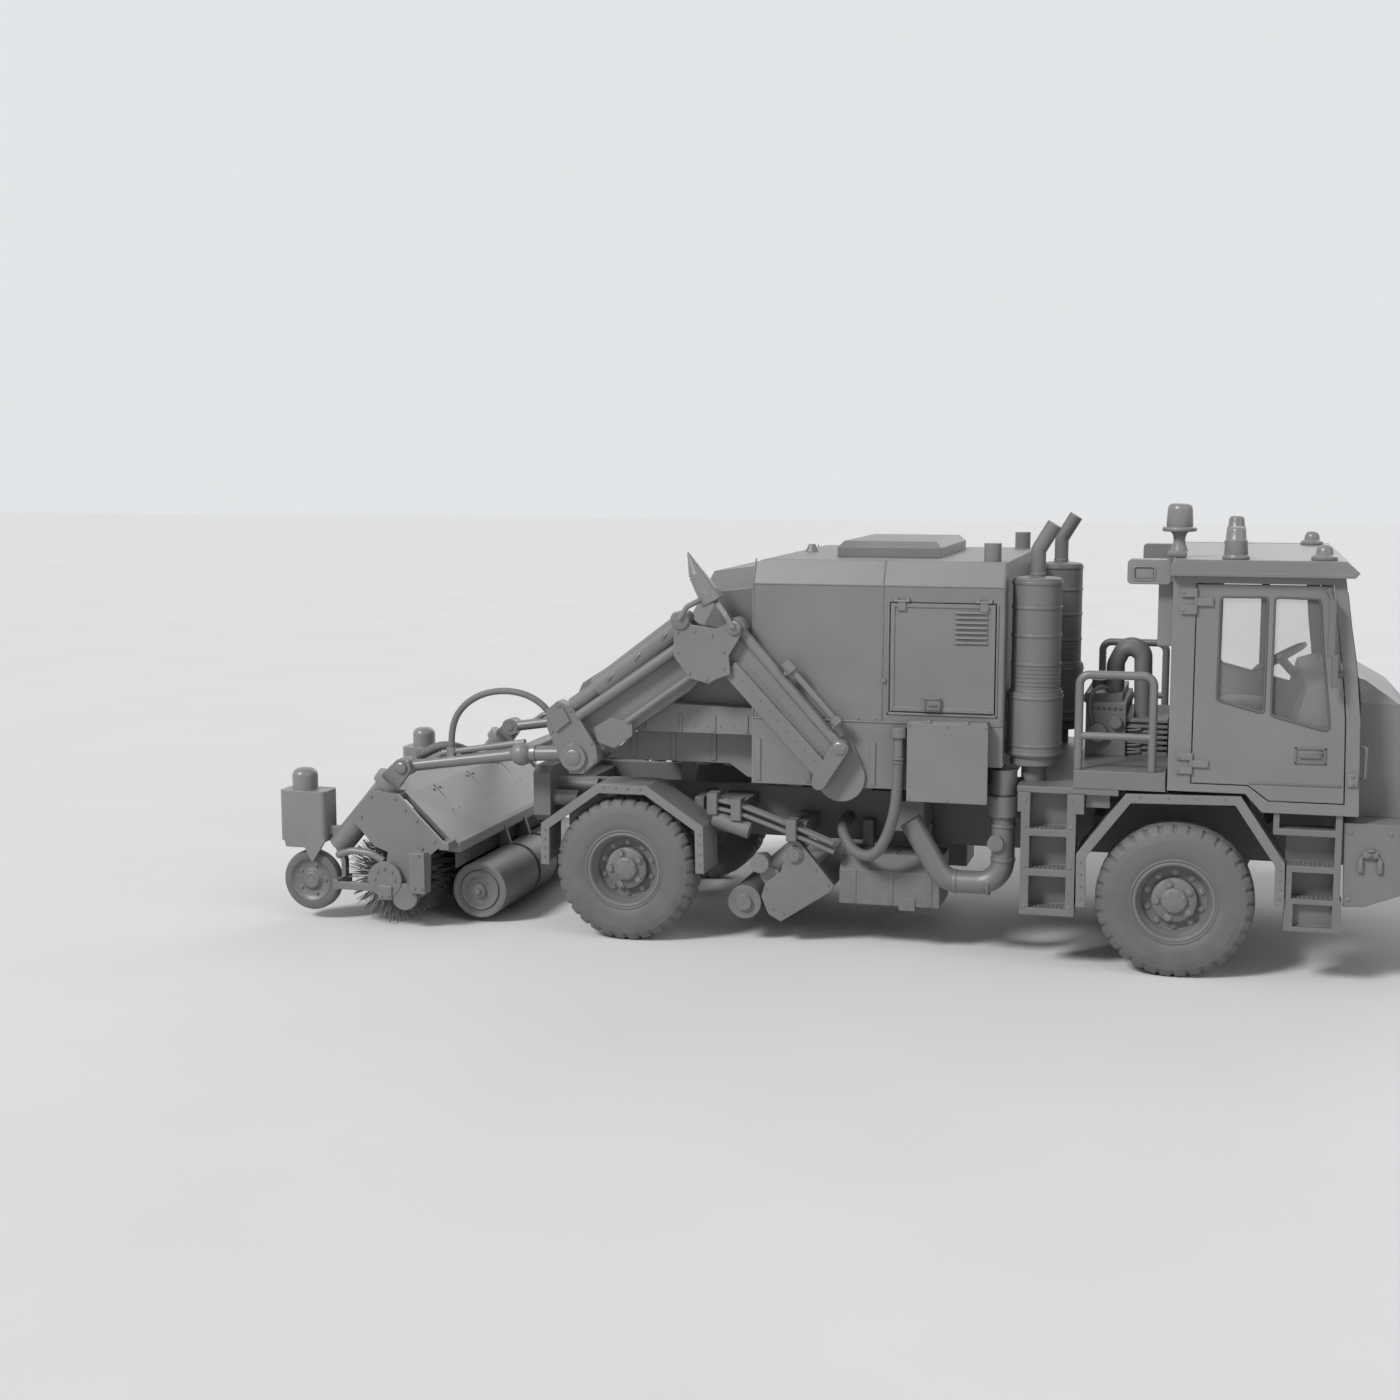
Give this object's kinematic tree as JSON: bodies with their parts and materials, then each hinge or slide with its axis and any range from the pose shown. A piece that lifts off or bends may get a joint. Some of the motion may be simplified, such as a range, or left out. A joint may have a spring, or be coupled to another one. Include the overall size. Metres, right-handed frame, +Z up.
{
  "type": "foreign object debris sweeper",
  "caption": "Self-propelled airfield debris sweeper with a forward cab, a hopper and twin folding booms carrying a rear brush head.",
  "frame": {"origin": "on the ground below the middle of the whole machine's length and width", "axes": "+X forward, +Y to the machine's left, +Z up"},
  "size_m": [8.98, 2.86, 3.336],
  "materials": {
    "tyre": "matt moulded rubber",
    "chassis": "satin primer",
    "body": "satin primer",
    "cab": "satin primer",
    "trim": "matt",
    "steel": "satin primer",
    "engine": "satin",
    "boom": "satin primer",
    "bristle": "matt bristle",
    "lamp": "satin",
    "glass": "clear"
  },
  "bodies": {
    "root": {"chassis_frame": "chassis", "front_axle": "chassis", "rear_axle": "chassis", "mid_carrier": "chassis", "tanks": "chassis", "bumper": "chassis", "enclosure": "body", "hopper": "body", "lower_body": "body", "side_boxes": "body", "front_fenders": "body", "rear_fenders": "body", "bonnet": "body", "cab_shell": "cab", "cab_roof": "cab", "seats": "trim", "dashboard": "trim", "filler_hose": "trim", "platform": "steel", "ladders": "steel", "guard_rails": "steel", "front_steps": "steel", "suction_pipe": "steel", "filler_neck": "steel", "auxiliary_engine": "engine", "drive_engine": "engine", "mufflers": "engine", "roof_beacons": "lamp", "work_lamps": "lamp"},
    "steer_right": {"knuckle_right": "chassis"},
    "steer_left": {"knuckle_left": "chassis"},
    "wheel_front_right": {"wheel_front_right": "tyre"},
    "wheel_front_left": {"wheel_front_left": "tyre"},
    "wheel_rear_right": {"wheel_rear_right": "tyre"},
    "wheel_rear_left": {"wheel_rear_left": "tyre"},
    "door_right": {"cab_door_right": "cab", "mirrors_right": "trim"},
    "door_left": {"cab_door_left": "cab", "mirrors_left": "trim"},
    "bay_door_right": {"service_door_right": "body"},
    "bay_door_left": {"service_door_left": "body"},
    "hatch": {"roof_hatch": "body"},
    "boom_lower": {"boom_lower_arms": "boom"},
    "boom_upper": {"boom_upper_arms": "boom", "horn_lamp": "lamp"},
    "arm": {"head_arm": "boom", "head_hoses": "trim"},
    "head": {"head_frame": "boom", "rear_boxes": "lamp"},
    "brush": {"brush": "bristle"},
    "roller": {"roller": "steel"},
    "gauge_right": {"gauge_wheel_right": "tyre"},
    "gauge_left": {"gauge_wheel_left": "tyre"},
    "mid_unit": {"mid_housing": "boom"},
    "mid_roller": {"mid_roller": "steel"}
  },
  "joints": [
    {"name": "steering_right", "type": "hinge", "parent": "root", "child": "steer_right", "pos_m": [2.4, -0.94, 0.55], "axis": [0, 0, 1], "range_deg": [-30, 30]},
    {"name": "steering_left", "type": "hinge", "parent": "root", "child": "steer_left", "pos_m": [2.4, 0.94, 0.55], "axis": [0, 0, 1], "range_deg": [-30, 30]},
    {"name": "wheel_spin_front_right", "type": "hinge", "parent": "steer_right", "child": "wheel_front_right", "pos_m": [2.4, -1.11, 0.55], "axis": [0, 1, 0], "continuous": true},
    {"name": "wheel_spin_front_left", "type": "hinge", "parent": "steer_left", "child": "wheel_front_left", "pos_m": [2.4, 1.11, 0.55], "axis": [0, 1, 0], "continuous": true},
    {"name": "wheel_spin_rear_right", "type": "hinge", "parent": "root", "child": "wheel_rear_right", "pos_m": [-1.65, -1.11, 0.55], "axis": [0, 1, 0], "continuous": true},
    {"name": "wheel_spin_rear_left", "type": "hinge", "parent": "root", "child": "wheel_rear_left", "pos_m": [-1.65, 1.11, 0.55], "axis": [0, 1, 0], "continuous": true},
    {"name": "cab_door_right_swing", "type": "hinge", "parent": "root", "child": "door_right", "pos_m": [2.487, -1.302, 2], "axis": [0, 0, 1], "range_deg": [-80, 0]},
    {"name": "cab_door_left_swing", "type": "hinge", "parent": "root", "child": "door_left", "pos_m": [2.487, 1.302, 2], "axis": [0, 0, 1], "range_deg": [0, 80]},
    {"name": "bay_door_right_lift", "type": "hinge", "parent": "root", "child": "bay_door_right", "pos_m": [0.735, -1.216, 2.629], "axis": [1, 0, 0], "range_deg": [-95, 0]},
    {"name": "bay_door_left_lift", "type": "hinge", "parent": "root", "child": "bay_door_left", "pos_m": [0.735, 1.216, 2.629], "axis": [1, 0, 0], "range_deg": [0, 95]},
    {"name": "hatch_lift", "type": "hinge", "parent": "root", "child": "hatch", "pos_m": [-0.153, 0, 2.927], "axis": [0, 1, 0], "range_deg": [-70, 0]},
    {"name": "boom_lift", "type": "hinge", "parent": "root", "child": "boom_lower", "pos_m": [0.019, -1.29, 1.558], "axis": [0, 1, 0], "range_deg": [0, 12]},
    {"name": "boom_fold", "type": "hinge", "parent": "boom_lower", "child": "boom_upper", "pos_m": [-0.76, -1.29, 2.421], "axis": [0, 1, 0], "range_deg": [0, 18]},
    {"name": "arm_tilt", "type": "hinge", "parent": "boom_upper", "child": "arm", "pos_m": [-2.01, -1.15, 1.415], "axis": [0, 1, 0], "range_deg": [0, 12]},
    {"name": "head_pitch", "type": "hinge", "parent": "arm", "child": "head", "pos_m": [-3.461, -1.15, 1.253], "axis": [0, 1, 0], "range_deg": [-5, 4]},
    {"name": "brush_spin", "type": "hinge", "parent": "head", "child": "brush", "pos_m": [-3.56, 0, 0.392], "axis": [0, 1, 0], "continuous": true},
    {"name": "roller_spin", "type": "hinge", "parent": "head", "child": "roller", "pos_m": [-2.925, 0, 0.262], "axis": [0, 1, 0], "continuous": true},
    {"name": "gauge_wheel_spin_right", "type": "hinge", "parent": "head", "child": "gauge_right", "pos_m": [-4.25, -1.207, 0.32], "axis": [0, 1, 0], "continuous": true},
    {"name": "gauge_wheel_spin_left", "type": "hinge", "parent": "head", "child": "gauge_left", "pos_m": [-4.25, 1.207, 0.32], "axis": [0, 1, 0], "continuous": true},
    {"name": "mid_lift", "type": "hinge", "parent": "root", "child": "mid_unit", "pos_m": [-0.377, 0, 0.696], "axis": [0, 1, 0], "range_deg": [-5, 16]},
    {"name": "mid_roller_spin", "type": "hinge", "parent": "mid_unit", "child": "mid_roller", "pos_m": [-0.76, 0, 0.312], "axis": [0, 1, 0], "continuous": true}
  ],
  "couplings": [
    {"joint": "steering_left", "follows": "steering_right", "ratio": 1}
  ]
}
